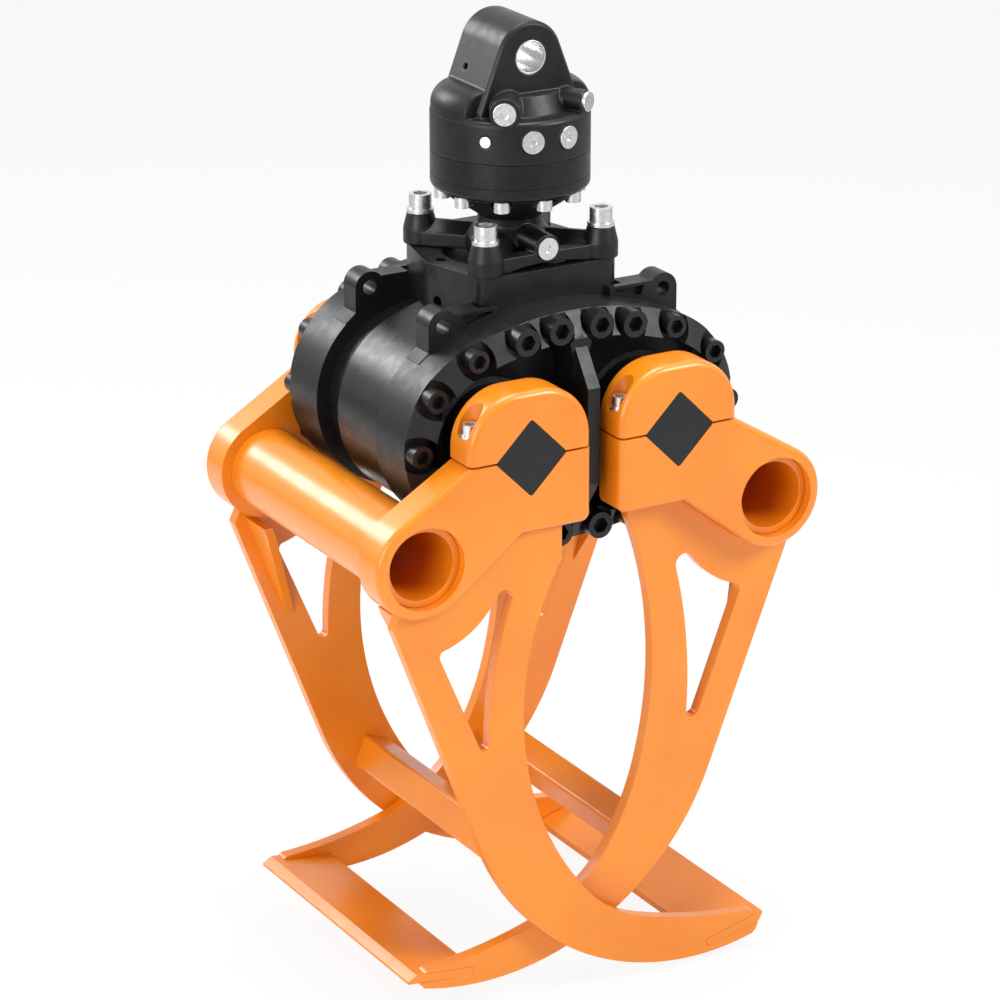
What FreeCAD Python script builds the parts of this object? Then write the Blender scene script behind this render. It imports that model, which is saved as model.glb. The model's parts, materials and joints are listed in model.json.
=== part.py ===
"""Log grapple with a hydraulic rotator, two clamped jaws and a twin-shaft rotary drive.

The model hangs from the pin bore of the rotator link, which is the origin: +X points to the
right jaw, +Y to the rear, +Z up.  Pieces of the drive and the jaws are drawn about a point
midway between the two drive shafts and placed one pin height below the bore.  In the jaws
`out` is the distance from the middle plane towards the jaw's own side, so that one set of
values draws the left jaw (hand -1) and the right jaw (hand +1).
"""
import FreeCAD, Part
import math
import os
import Sketcher
from FreeCAD import Placement, Rotation, Vector

LEFT, RIGHT = -1, 1
FRONT, REAR = -1, 1
SIDES = {LEFT: "left", RIGHT: "right", }
ENDS = {FRONT: "front", REAR: "rear", }

# Driving dimensions in millimetres and degrees, written once and copied to the sheet.
DIMENSIONS = {
    # the whole
    "pin_height": 465, "running_gap": 0.3, "screw_play": 0.3,
    # rotator link and head
    "link_bore_radius": 20, "bushing_wall": 2.5, "link_top_radius": 47, "link_thickness": 104.8,
    "link_foot_half": 75, "link_foot_drop": 65, "link_chamfer": 4, "grease_hole_radius": 4,
    "head_radius": 105, "head_wall_drop": 79, "head_edge_round": 7, "head_seam_drop": 128.3,
    "turret_radius": 68, "turret_drop": 47, "turret_slope": 24,
    "hump_half": 46, "hump_drop": 38, "hump_round": 30,
    "rotor_seam_drop": 160.3, "ring_bottom_drop": 179, "ring_round": 8,
    "rotor_shaft_radius": 50, "rotor_shaft_top_drop": 108, "bearing_wall": 12,
    "plug_radius": 15, "plug_proud": 2.5, "plug_seat": 3, "small_plug_radius": 7.5,
    "plug_boss_wall": 5, "high_plug_drop": 60, "low_plug_drop": 97.5, "socket_radius": 5,
    # flange adapter and its screws
    "bolt_square": 173, "flange_screw_radius": 10, "flange_head_radius": 15, "flange_head_height": 20,
    "flange_washer_radius": 18, "flange_washer_thickness": 5, "boss_radius": 23,
    "boss_neck_radius": 17.8, "boss_top": 238.5, "base_top": 217, "bar_width": 22,
    "arm_slope_height": 13, "arm_slope_angle": 52, "hub_radius": 58, "waist_radius": 43,
    "waist_height": 248, "cone_radius": 98, "arch_half": 58, "arch_height": 6,
    "ring_screw_count": 10, "ring_screw_circle": 90, "ring_screw_head_radius": 10.5,
    "ring_screw_head_height": 14, "ring_screw_radius": 7, "scallop_radius": 14.5,
    "scallop_floor": 256, "front_port_height": 221, "front_port_face": 97,
    # drive housing
    "shaft_spacing": 222, "block_top": 197, "block_corner_radius": 18.5, "block_nose": 126.5,
    "block_recess_radius": 91, "block_recess_depth": 8, "block_hole_radius": 7.5,
    "block_hole_out": 104, "block_hole_depth": 22, "side_port_height": 148, "side_port_depth": 21,
    "barrel_radius": 130, "barrel_crown": 150, "waist_step": 13, "waist_start": 34,
    "housing_half": 82, "barrel_bore": 104, "overhang_drop": 40,
    # covers
    "cover_radius": 136, "cover_crown": 156, "cover_face": 160, "rim_width": 34, "rim_rise": 22,
    "recess_floor": 130, "keel_half": 9, "keel_foot_half": 17, "keel_face": 215, "keel_bend": 65,
    "keel_end": 112, "lug_out": 165.5, "lug_height": 147, "lug_radius": 21.5, "lug_hole": 10,
    "lug_depth": 33, "web_over_lug": 13.5, "web_inner": 84, "web_pocket": 9,
    "cover_screw_circle": 120, "cover_screw_step": 36, "cover_pocket": 25, "cover_seat": 158,
    "cover_head_radius": 15, "cover_head_height": 20, "cover_screw_radius": 10,
    "crown_pocket": 24, "crown_seat": 161, "crown_head_radius": 18, "crown_head_height": 24,
    "crown_screw_radius": 12, "crown_inner_out": 30, "crown_inner_height": 137.5,
    "crown_outer_out": 80.5, "crown_outer_height": 130.5, "screw_shank": 45,
    # shafts, bushes, seals and the helical drive
    "shaft_hub_radius": 66, "shaft_core_radius": 48, "bush_wall": 9.5, "bush_length": 32,
    "seal_proud": 2, "shaft_square": 74, "shaft_corner": 4, "gear_inner": 72, "gear_start": -80,
    "gear_end": -10, "piston_start": -70, "piston_end": 50, "piston_flange": 28,
    # clamp heads and caps
    "head_inner_face": 194, "head_outer_face": 246, "head_inner_edge": 22, "split_gap": 3,
    "cap_half": 89, "cap_top": 88.5, "cap_corner": 72, "cap_round": 10, "head_round": 8,
    "head_bottom": 102, "head_corner": 12, "head_knee": 123, "boss_out": 264.3,
    "boss_drop": 122.5, "tube_boss_radius": 70, "tube_radius": 55, "tube_wall": 9.5,
    "tube_recess": 13, "clamp_screw_offset": 75, "clamp_pocket": 17, "clamp_seat": 34,
    "clamp_washer_radius": 14, "clamp_washer_thickness": 3, "clamp_head_radius": 10.5,
    "clamp_head_height": 14, "clamp_screw_radius": 7, "clamp_screw_length": 42,
    "clamp_socket": 6.9,
    # jaw plates
    "plate_thickness": 18, "left_plate_face": 234, "right_plate_face": 212, "ledge_angle": 298,
    "outer_corner_out": 306, "outer_corner_drop": 203,
    "gusset_inset": 18, "gusset_thickness": 12, "gusset_width": 55, "gusset_top_drop": 196,
    "gusset_foot_drop": 348, "beam_height": 46.5, "beam_width": 43.5, "beam_wall": 6,
    "beam_tilt": 21.5, "beam_round": 5, "blade_thickness": 12.5, "blade_edge": 3.5,
}


class Size:
    """A number together with the sheet expression that works it out."""

    def __init__(self, number, text):
        self.number = float(number)
        self.text = text

    def __float__(self):
        return self.number

    def __neg__(self):
        return Size(-self.number, "(-%s)" % self.text)

    def __add__(self, other):
        return Size(self.number + float(other), "(%s + %s)" % (self.text, text_of(other)))

    def __sub__(self, other):
        return Size(self.number - float(other), "(%s - %s)" % (self.text, text_of(other)))

    def __mul__(self, other):
        return Size(self.number * float(other), "(%s * %s)" % (self.text, text_of(other)))

    def __truediv__(self, other):
        return Size(self.number / float(other), "(%s / %s)" % (self.text, text_of(other)))

    def __radd__(self, other):
        return plain(other) + self

    def __rsub__(self, other):
        return plain(other) - self

    def __rmul__(self, other):
        return plain(other) * self

    def __rtruediv__(self, other):
        return plain(other) / self


def text_of(value):
    """Expression text of a Size or a plain number."""
    return value.text if isinstance(value, Size) else "(%r)" % float(value)


def plain(value):
    """A Size, made from a plain number where it is not one already."""
    return value if isinstance(value, Size) else Size(value, text_of(value))


def sine(angle):
    return Size(math.sin(math.radians(float(angle))), "sin(%s * 1deg)" % text_of(angle))


def cosine(angle):
    return Size(math.cos(math.radians(float(angle))), "cos(%s * 1deg)" % text_of(angle))


def root(value):
    return Size(math.sqrt(float(value)), "sqrt(%s)" % text_of(value))


def angle_of(across, up):
    """Angle in degrees of the direction (across, up)."""
    number = math.degrees(math.atan2(float(up), float(across)))
    return Size(number, "(atan2(%s; %s) / 1deg)" % (text_of(up), text_of(across)))


def arc_cosine(ratio):
    return Size(math.degrees(math.acos(float(ratio))), "(acos(%s) / 1deg)" % text_of(ratio))


def polar(centre, radius, angle):
    """Point at a radius and angle about a centre."""
    return centre[0] + radius * cosine(angle), centre[1] + radius * sine(angle)


class Dimensions:
    """The driving dimensions as Size values, read by name."""

    def __getattr__(self, alias):
        return Size(DIMENSIONS[alias], "Sizes." + alias)


document = FreeCAD.newDocument("LogGrapple")
sheet = document.addObject("Spreadsheet::Sheet", "Sizes")
for row, (alias, number) in enumerate(DIMENSIONS.items(), start=1):
    sheet.set("A%d" % row, alias)
    sheet.set("B%d" % row, str(number))
    sheet.setAlias("B%d" % row, alias)
document.recompute()
d = Dimensions()
PARTS = []


# ---------------------------------------------------------------- drawing helpers

def bind(target, name, value):
    """Give a property its value and the expression that keeps it."""
    if name.count(".") == 0:
        setattr(target, name, float(value))
    if isinstance(value, Size):
        target.setExpression(name, value.text)


def new_body(label, below_pin=True):
    """A sub-part, placed one pin height below the link bore unless it is on the rotator."""
    body = document.addObject("PartDesign::Body", label)
    body.Label = label
    body.AllowCompound = True
    if below_pin:
        body.Placement = Placement(Vector(0, 0, -float(d.pin_height)), Rotation())
        body.setExpression("Placement.Base.z", (-d.pin_height).text)
    PARTS.append(body)
    return body


def new_sketch(body, plane, offset=0):
    """A sketch on one of the body's origin planes, moved along the plane's normal."""
    sketch = body.newObject("Sketcher::SketchObject", body.Name + "_sketch")
    support = [item for item in body.Origin.OriginFeatures if item.Role == plane + "_Plane"][0]
    sketch.AttachmentSupport = [(support, "")]
    sketch.MapMode = "FlatFace"
    sketch.AttachmentOffset = Placement(Vector(0, 0, float(offset)), Rotation())
    if isinstance(offset, Size):
        sketch.setExpression("AttachmentOffset.Base.z", offset.text)
    return sketch


def fix(sketch, value, *terms):
    """Add a dimension to a sketch, bound to the sheet where the value is a Size."""
    index = sketch.addConstraint(Sketcher.Constraint(*terms, float(value)))
    if isinstance(value, Size):
        sketch.setExpression("Constraints[%d]" % index, value.text)


def fix_point(sketch, shape, end, point):
    fix(sketch, point[0], "DistanceX", shape, end)
    fix(sketch, point[1], "DistanceY", shape, end)


def arc_between(start, stop, radius, turn):
    """The short arc that turns left (+1) or right (-1) on its way from start to stop."""
    chord = stop - start
    half = chord.Length / 2
    rise = math.sqrt(max(radius * radius - half * half, 0.0))
    normal = Vector(-chord.y, chord.x, 0).normalize()
    centre = (start + stop) / 2 + normal * (rise * turn)
    first, last = (start, stop) if turn > 0 else (stop, start)
    angles = [math.atan2(point.y - centre.y, point.x - centre.x) for point in (first, last)]
    return Part.ArcOfCircle(Part.Circle(centre, Vector(0, 0, 1), radius), *angles)


def line(across, up):
    """A straight step of a path to the point (across, up)."""
    return (across, up), None, 0


def arc(across, up, radius, turn):
    """A curved step of a path to the point (across, up)."""
    return (across, up), radius, turn


def draw_path(sketch, start, steps, hand=1):
    """Draw one closed path; the last step ends at the start again, by a line if need be."""
    here = (start[0], start[1])
    if float(steps[-1][0][0]) != float(here[0]) or float(steps[-1][0][1]) != float(here[1]):
        steps = steps + [line(*here)]
    shapes = []
    for point, radius, turn in steps:
        a = Vector(float(here[0]) * hand, float(here[1]), 0)
        b = Vector(float(point[0]) * hand, float(point[1]), 0)
        if radius is None:
            index = sketch.addGeometry(Part.LineSegment(a, b), False)
            first = 1
        else:
            index = sketch.addGeometry(arc_between(a, b, float(radius), turn * hand), False)
            first = 1 if turn * hand > 0 else 2
        shapes.append((index, first, point, radius))
        here = point
    for number, (index, first, point, radius) in enumerate(shapes):
        following = shapes[(number + 1) % len(shapes)]
        sketch.addConstraint(Sketcher.Constraint("Coincident", index, 3 - first,
                                                 following[0], following[1]))
        fix_point(sketch, index, 3 - first, (plain(point[0]) * hand, point[1]))
        if radius is not None:
            fix(sketch, radius, "Radius", index)
    return sketch


def draw_circles(sketch, centres, radius):
    for centre in centres:
        circle = Part.Circle(Vector(float(centre[0]), float(centre[1]), 0), Vector(0, 0, 1),
                             float(radius))
        index = sketch.addGeometry(circle, False)
        fix_point(sketch, index, 3, centre)
        fix(sketch, radius, "Radius", index)
    return sketch


def draw_hexagons(sketch, centres, radius):
    """Six-sided socket outlines, radius to the corners."""
    for centre in centres:
        corners = [polar(centre, radius, 60 * side) for side in range(6)]
        draw_path(sketch, corners[0], [line(*corner) for corner in corners[1:]])
    return sketch


def draw_rectangle(sketch, left, low, right, high):
    return draw_path(sketch, (left, low), [line(right, low), line(right, high), line(left, high)])


def extrude(body, sketch, length, cut=False, taper=None, symmetric=False):
    """Pad or pocket a sketch along its normal, or equally both ways when symmetric."""
    before = body.Shape.Volume if cut else 0
    kind = "PartDesign::Pocket" if cut else "PartDesign::Pad"
    feature = body.newObject(kind, body.Name + ("_pocket" if cut else "_pad"))
    feature.Profile = sketch
    bind(feature, "Length", length)
    if symmetric:
        feature.SideType = "Symmetric"
    elif cut:
        feature.Reversed = True
    if taper is not None:
        bind(feature, "TaperAngle", taper)
    body.Tip = feature
    document.recompute()
    if cut and body.Shape.Volume > before - 1e-3:
        raise RuntimeError("a pocket of %s cuts nothing" % body.Label)
    return feature


def slab(body, start, steps, low, high, hand=1, cut=False):
    """Extrude a path drawn in (X, Z) between two depths along Y."""
    sketch = draw_path(new_sketch(body, "XZ", -plain(high)), start, steps, hand)
    return extrude(body, sketch, plain(high) - low, cut)


def reach(end, near, far):
    """Depths along Y of a stretch that runs from near to far at the front or rear end."""
    return (plain(near), plain(far)) if end == REAR else (-plain(far), -plain(near))


def discs(body, centres, radius, low, high, cut=False):
    """Cylinders along Y, centred at (X, Z), between two depths."""
    sketch = draw_circles(new_sketch(body, "XZ", -plain(high)), centres, radius)
    return extrude(body, sketch, plain(high) - low, cut)


def columns(body, centres, radius, low, high, cut=False, taper=None):
    """Cylinders along Z, centred at (X, Y), between two heights."""
    sketch = draw_circles(new_sketch(body, "XY", low), centres, radius)
    return extrude(body, sketch, plain(high) - low, cut, taper)


def ring(body, outer, inner, low, high, centre=(0, 0), upright=False):
    """A plain ring along Y, or along Z when upright."""
    plane, offset = ("XY", plain(low)) if upright else ("XZ", -plain(high))
    sketch = new_sketch(body, plane, offset)
    draw_circles(sketch, [centre], outer)
    draw_circles(sketch, [centre], inner)
    return extrude(body, sketch, plain(high) - low)


def revolve(body, start, steps):
    """Turn a path drawn in (radius, Z) about the Z axis."""
    sketch = draw_path(new_sketch(body, "XZ"), start, steps)
    feature = body.newObject("PartDesign::Revolution", body.Name + "_turned")
    feature.Profile = sketch
    feature.ReferenceAxis = (sketch, ["V_Axis"])
    feature.Angle = 360
    body.Tip = feature
    document.recompute()
    return feature


def bevel(body, radius, wanted, chamfer=False):
    """Round or chamfer the edges that `wanted` accepts."""
    kind = "PartDesign::Chamfer" if chamfer else "PartDesign::Fillet"
    names = ["Edge%d" % number for number, edge in enumerate(body.Shape.Edges, start=1)
             if wanted(edge)]
    if not names:
        raise RuntimeError("no edge of %s to round" % body.Label)
    base = body.Tip
    feature = body.newObject(kind, body.Name + "_edges")
    feature.Base = (base, names)
    bind(feature, "Size" if chamfer else "Radius", radius)
    body.Tip = feature
    document.recompute()
    return feature


def lies_at(edge, axis, value, reach_over=0.01):
    """Whether every point of an edge has this coordinate along an axis."""
    box = edge.BoundBox
    low, high = getattr(box, axis + "Min"), getattr(box, axis + "Max")
    return abs(low - float(value)) < reach_over and abs(high - float(value)) < reach_over


def runs_along(edge, axis, across, up):
    """Whether an edge runs along an axis through the point (across, up)."""
    others = [name for name in "XYZ" if name != axis]
    return lies_at(edge, others[0], across) and lies_at(edge, others[1], up)


def screws(body, centres, seat, outward, head, height, shank, length, socket, upright=False):
    """Socket head screws: `outward` is the sign of the heads along Y, or along Z if upright."""
    def stretch(first, second, shape, cut=False):
        low, high = (first, second) if outward > 0 else (second, first)
        plane, offset = ("XY", plain(low)) if upright else ("XZ", -plain(high))
        sketch = new_sketch(body, plane, offset)
        shape(sketch)
        extrude(body, sketch, plain(high) - low, cut)

    top = seat + height * outward
    stretch(seat - length * outward, seat, lambda sketch: draw_circles(sketch, centres, shank))
    stretch(seat, top, lambda sketch: draw_circles(sketch, centres, head))
    stretch(top - height * outward * 0.55, top,
            lambda sketch: draw_hexagons(sketch, centres, socket), cut=True)


# ---------------------------------------------------------------- rotator, about the link bore

def plug_places():
    """Angle, height, radius of the plugs in the rotator head, and whether they have a boss."""
    return {
        "high": (-124, -d.high_plug_drop, d.plug_radius, True),
        "low_left": (-104, -d.low_plug_drop, d.plug_radius, False),
        "low_right": (-75, -d.low_plug_drop, d.plug_radius, False),
        "bleed": (-137.5, -d.low_plug_drop, d.small_plug_radius, False),
    }


def radial_cylinder(body, angle, height, radius, near, far, side=0, cut=False):
    """A cylinder on the rotator head whose axis points outward at an angle about Z."""
    sketch = body.newObject("Sketcher::SketchObject", body.Name + "_sketch")
    support = [item for item in body.Origin.OriginFeatures if item.Role == "YZ_Plane"][0]
    sketch.AttachmentSupport = [(support, "")]
    sketch.MapMode = "FlatFace"
    turn = Rotation(Vector(0, 1, 0), angle)
    start = turn.multVec(Vector(0, 0, float(near)))
    sketch.AttachmentOffset = Placement(start, turn)
    # In the plane of the sketch the first axis is Y and the normal is X.
    bearing = (plain(near) * cosine(angle), plain(near) * sine(angle))
    sketch.setExpression("AttachmentOffset.Base.z", bearing[0].text)
    sketch.setExpression("AttachmentOffset.Base.x", bearing[1].text)
    draw_circles(sketch, [(side, height)], radius)
    return extrude(body, sketch, plain(far) - near, cut)


def make_rotator_head():
    """Cast head with the link, side humps, a low turret and the bosses of the plugs."""
    body = new_body("rotator_head", below_pin=False)
    wall_top = -d.head_wall_drop
    turret_foot = wall_top + d.head_edge_round
    revolve(body, (0, -d.head_seam_drop), [
        line(d.head_radius, -d.head_seam_drop),
        line(d.head_radius, wall_top),
        arc(d.head_radius - d.head_edge_round, turret_foot, d.head_edge_round, 1),
        line(d.turret_radius + d.turret_slope / 2, turret_foot),
        line(d.turret_radius, -d.turret_drop),
        line(0, -d.turret_drop),
    ])
    # humps beside the link, cut from a disc a little inside the wall
    hump_radius = d.head_radius - 1
    hump_reach = root(hump_radius * hump_radius - d.hump_half * d.hump_half)
    sketch = draw_path(new_sketch(body, "XY", wall_top - 10), (-hump_reach, -d.hump_half), [
        line(hump_reach, -d.hump_half),
        arc(hump_reach, d.hump_half, hump_radius, 1),
        line(-hump_reach, d.hump_half),
        arc(-hump_reach, -d.hump_half, hump_radius, 1)])
    extrude(body, sketch, 10 + d.head_wall_drop - d.hump_drop)
    bevel(body, d.hump_round, lambda edge: lies_at(edge, "Z", -d.hump_drop)
          and edge.Curve.TypeId == "Part::GeomCircle")
    # the link plate
    foot = (d.link_foot_half, -d.link_foot_drop)
    span = root(foot[0] * foot[0] + foot[1] * foot[1])
    tangent = angle_of(*foot) + arc_cosine(d.link_top_radius / span)
    touch = polar((0, 0), d.link_top_radius, tangent)
    sketch = draw_path(new_sketch(body, "XZ"), (-foot[0], wall_top), [
        line(foot[0], wall_top),
        line(*foot),
        line(*touch),
        arc(0, d.link_top_radius, d.link_top_radius, 1),
        arc(-touch[0], touch[1], d.link_top_radius, 1),
        line(-foot[0], foot[1])])
    extrude(body, sketch, d.link_thickness, symmetric=True)
    half = d.link_thickness / 2
    bevel(body, d.link_chamfer, lambda edge: (lies_at(edge, "Y", -half) or lies_at(edge, "Y", half))
          and edge.CenterOfMass.z > -float(d.turret_drop) + 6, chamfer=True)
    # bosses and their seats
    for angle, height, radius, raised in plug_places().values():
        if raised:
            radial_cylinder(body, angle, height, radius + d.plug_boss_wall, 40, d.head_radius - 1)
    radial_cylinder(body, -61, -d.high_plug_drop, d.plug_radius, 30, d.head_radius - 2, side=18)
    for angle, height, radius, raised in plug_places().values():
        radial_cylinder(body, angle, height, radius + d.screw_play, d.head_radius - d.plug_seat,
                        d.head_radius + 5, cut=True)
    # link bore, grease hole and the cavity for the rotor shaft
    discs(body, [(0, 0)], d.link_bore_radius + d.bushing_wall, -half - 1, half + 1, cut=True)
    sketch = draw_circles(new_sketch(body, "YZ", -d.link_foot_half), [(16, -20)],
                          d.grease_hole_radius)
    extrude(body, sketch, d.link_foot_half - d.link_bore_radius, cut=True)
    columns(body, [(0, 0)], d.rotor_shaft_radius + d.running_gap, -d.head_seam_drop - 1,
            -d.rotor_shaft_top_drop, cut=True)


def make_rotator_pieces():
    """Bushing, plugs, stator ring, bearing, rotor ring and rotor shaft."""
    half = d.link_thickness / 2
    ring(new_body("link_bushing", below_pin=False), d.link_bore_radius + d.bushing_wall,
         d.link_bore_radius, -half, half)
    plugs = new_body("port_plugs", below_pin=False)
    bleed = new_body("bleed_plug", below_pin=False)
    for name, (angle, height, radius, raised) in plug_places().items():
        body = bleed if name == "bleed" else plugs
        near = d.head_radius - d.plug_seat
        radial_cylinder(body, angle, height, radius, near, d.head_radius + d.plug_proud)
    radial_cylinder(plugs, -61, -d.high_plug_drop, d.plug_radius - 2, d.head_radius - 2,
                    d.head_radius + 3, side=18)
    for name, (angle, height, radius, raised) in plug_places().items():
        if name != "bleed":
            radial_cylinder(plugs, angle, height, d.socket_radius, d.head_radius - 1,
                            d.head_radius + d.plug_proud + 1, cut=True)
    inner = d.rotor_shaft_radius + d.bearing_wall
    ring(new_body("stator_ring", below_pin=False), d.head_radius, inner,
         -d.rotor_seam_drop + d.running_gap / 2, -d.head_seam_drop, upright=True)
    ring(new_body("rotator_bearing", below_pin=False), inner,
         d.rotor_shaft_radius + d.running_gap, -d.rotor_seam_drop + 2, -d.head_seam_drop,
         upright=True)
    rotor = new_body("rotor_ring", below_pin=False)
    top = -d.rotor_seam_drop - d.running_gap / 2
    revolve(rotor, (d.rotor_shaft_radius, -d.ring_bottom_drop), [
        line(d.head_radius - d.ring_round, -d.ring_bottom_drop),
        arc(d.head_radius, -d.ring_bottom_drop + d.ring_round, d.ring_round, 1),
        line(d.head_radius, top),
        line(d.rotor_shaft_radius, top)])
    columns(rotor, ring_screw_places(), d.ring_screw_radius + d.screw_play, -d.ring_bottom_drop,
            -d.ring_bottom_drop + 12, cut=True)
    shaft = new_body("rotor_shaft", below_pin=False)
    columns(shaft, [(0, 0)], d.rotor_shaft_radius, -d.ring_bottom_drop,
            -d.rotor_shaft_top_drop - 1)


def ring_screw_places():
    count = DIMENSIONS["ring_screw_count"]
    return [polar((plain(0), plain(0)), d.ring_screw_circle, -19 + 360 / count * number)
            for number in range(count)]


# ---------------------------------------------------------------- flange adapter

def corners():
    """The four flange screw axes in plan."""
    half = d.bolt_square / 2
    return [(half * side, half * end) for side in (LEFT, RIGHT) for end in (FRONT, REAR)]


def diagonal(body, slope, half_width, low, high, taper=None):
    """A bar in plan between two opposite corner bosses."""
    reach_out = d.bolt_square / 2
    shift = half_width * math.sqrt(0.5)
    sketch = draw_path(new_sketch(body, "XY", low), (-reach_out - shift, -reach_out + shift), [
        line(-reach_out + shift, -reach_out - shift),
        line(reach_out + shift, reach_out - shift),
        line(reach_out - shift, reach_out + shift)], hand=slope)
    return extrude(body, sketch, plain(high) - low, taper=taper)


def make_flange_adapter():
    """Cast spider: four corner bosses, sloping arms, front and rear bars and a bell on top."""
    body = new_body("flange_adapter")
    bell_top = d.pin_height - d.ring_bottom_drop
    revolve(body, (0, d.block_top), [
        line(d.hub_radius, d.block_top),
        line(d.hub_radius, d.base_top),
        line(d.waist_radius, d.waist_height - 12),
        line(d.waist_radius, d.waist_height),
        line(d.cone_radius - 4, bell_top - 4),
        line(d.cone_radius, bell_top),
        line(0, bell_top)])
    columns(body, corners(), d.boss_radius, d.block_top, d.base_top)
    lean = angle_of(d.boss_top - d.base_top, d.boss_radius - d.boss_neck_radius)
    columns(body, corners(), d.boss_radius, d.base_top, d.boss_top, taper=-lean)
    for slope in (1, -1):
        diagonal(body, slope, d.boss_radius - 1, d.block_top, d.base_top)
        diagonal(body, slope, d.boss_radius - 3, d.base_top, d.base_top + d.arm_slope_height,
                 taper=-d.arm_slope_angle)
    for end in (FRONT, REAR):
        middle = d.bolt_square / 2 * end
        sketch = new_sketch(body, "XY", d.block_top)
        draw_rectangle(sketch, -d.bolt_square / 2, middle - d.bar_width / 2,
                       d.bolt_square / 2, middle + d.bar_width / 2)
        extrude(body, sketch, d.base_top - d.block_top)
        arch_radius = (d.arch_half * d.arch_half + d.arch_height * d.arch_height) / (
            d.arch_height * 2)
        slab(body, (-d.arch_half, d.block_top), [
            arc(d.arch_half, d.block_top, arch_radius, -1)],
            *reach(end, 70, d.front_port_face + 10), cut=True)
    port = d.plug_radius + d.plug_boss_wall - 1
    discs(body, [(0, d.front_port_height)], port, -d.front_port_face, -40)
    discs(body, [(0, d.front_port_height)], d.plug_radius + d.screw_play,
          -d.front_port_face - 1, -d.front_port_face + d.plug_seat, cut=True)
    columns(body, corners(), d.flange_screw_radius + d.screw_play, d.block_top - 1,
            d.boss_top + 1, cut=True)
    columns(body, ring_screw_places(), d.scallop_radius, d.scallop_floor, bell_top + 1, cut=True)


def make_flange_fasteners():
    seat = d.boss_top + d.flange_washer_thickness
    screws(new_body("flange_screws"), corners(), seat, 1, d.flange_head_radius,
           d.flange_head_height, d.flange_screw_radius, seat - d.block_top + 30, 9.8, upright=True)
    washers = new_body("flange_washers")
    sketch = new_sketch(washers, "XY", d.boss_top)
    draw_circles(sketch, corners(), d.flange_washer_radius)
    draw_circles(sketch, corners(), d.flange_screw_radius + d.screw_play)
    extrude(washers, sketch, d.flange_washer_thickness)
    seat = d.pin_height - d.ring_bottom_drop
    screws(new_body("ring_screws"), ring_screw_places(), seat, -1, d.ring_screw_head_radius,
           d.ring_screw_head_height, d.ring_screw_radius, 11, 6, upright=True)
    plug = new_body("adapter_plug")
    discs(plug, [(0, d.front_port_height)], d.plug_radius, -d.front_port_face - 2,
          -d.front_port_face + d.plug_seat)
    sketch = draw_hexagons(new_sketch(plug, "XZ", d.front_port_face - 2),
                           [(plain(0), d.front_port_height)], d.socket_radius)
    extrude(plug, sketch, 4.5, cut=True)


# ---------------------------------------------------------------- drive housing and covers

def crown_arc(radius, crown):
    """Centre depth and radius of the arc that joins two shaft circles over the middle."""
    half = d.shaft_spacing / 2
    lift = crown - radius
    depth = (half * half - lift * lift) / (lift * 2)
    return depth, crown + depth


def capsule(radius, crown):
    """Outline about both shafts: two end arcs joined by shallow arcs above and below."""
    half = d.shaft_spacing / 2
    depth, big = crown_arc(radius, crown)
    span = root(half * half + depth * depth)
    across = half + half / span * radius
    up = depth / span * radius
    start = (-across, up)
    return start, [
        arc(-half - radius, 0, radius, 1),
        arc(-across, -up, radius, 1),
        arc(across, -up, big, 1),
        arc(half + radius, 0, radius, 1),
        arc(across, up, radius, 1),
        arc(-across, up, big, 1)]


def block_side(depth):
    """Half width of the block at a depth from its middle, on the slanted side."""
    centre = d.bolt_square / 2
    offset = (d.block_nose - centre, centre)
    span = root(offset[0] * offset[0] + offset[1] * offset[1])
    bearing = angle_of(*offset) - arc_cosine(d.block_corner_radius / span)
    touch = (centre + d.block_corner_radius * cosine(bearing),
             centre - d.block_corner_radius * sine(bearing))
    return d.block_nose - (d.block_nose - touch[0]) * depth / touch[1], touch


def make_housing():
    """Twin barrels with a waist, carrying the block that the flange is bolted to."""
    body = new_body("actuator_housing")
    half = d.shaft_spacing / 2
    slab(body, *capsule(d.barrel_radius, d.barrel_crown), -d.housing_half, d.waist_start)
    slab(body, *capsule(d.barrel_radius - d.waist_step, d.barrel_crown - d.waist_step),
         d.waist_start, d.housing_half)
    side, touch = block_side(d.housing_half)
    under = d.block_top - d.overhang_drop
    sketch = draw_path(new_sketch(body, "XY", 60), (-side, -d.housing_half), [
        line(side, -d.housing_half),
        line(d.block_nose, 0),
        line(side, d.housing_half),
        line(-side, d.housing_half),
        line(-d.block_nose, 0)])
    extrude(body, sketch, under - 60)
    centre, corner = d.bolt_square / 2, d.block_corner_radius
    edge = centre + corner
    sketch = draw_path(new_sketch(body, "XY", under), (-centre, -edge), [
        line(centre, -edge),
        arc(touch[0], -touch[1], corner, 1),
        line(d.block_nose, 0),
        line(touch[0], touch[1]),
        arc(centre, edge, corner, 1),
        line(-centre, edge),
        arc(-touch[0], touch[1], corner, 1),
        line(-d.block_nose, 0),
        line(-touch[0], -touch[1]),
        arc(-centre, -edge, corner, 1)])
    extrude(body, sketch, d.overhang_drop)
    columns(body, [(0, 0)], d.block_recess_radius, d.block_top - d.block_recess_depth,
            d.block_top + 1, cut=True)
    columns(body, corners(), d.flange_screw_radius + d.screw_play, d.block_top - 31,
            d.block_top + 1, cut=True)
    columns(body, [(d.block_hole_out * hand, 0) for hand in SIDES], d.block_hole_radius,
            d.block_top - d.block_hole_depth, d.block_top + 1, cut=True)
    for hand in SIDES:
        sketch = draw_circles(new_sketch(body, "YZ", (d.block_nose - 14) * hand),
                              [(-d.side_port_depth, d.side_port_height)], d.block_hole_radius)
        feature = extrude(body, sketch, 28, cut=True, symmetric=True)
    discs(body, [(half * hand, 0) for hand in SIDES], d.barrel_bore, -d.housing_half - 1,
          d.housing_half + 1, cut=True)


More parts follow.
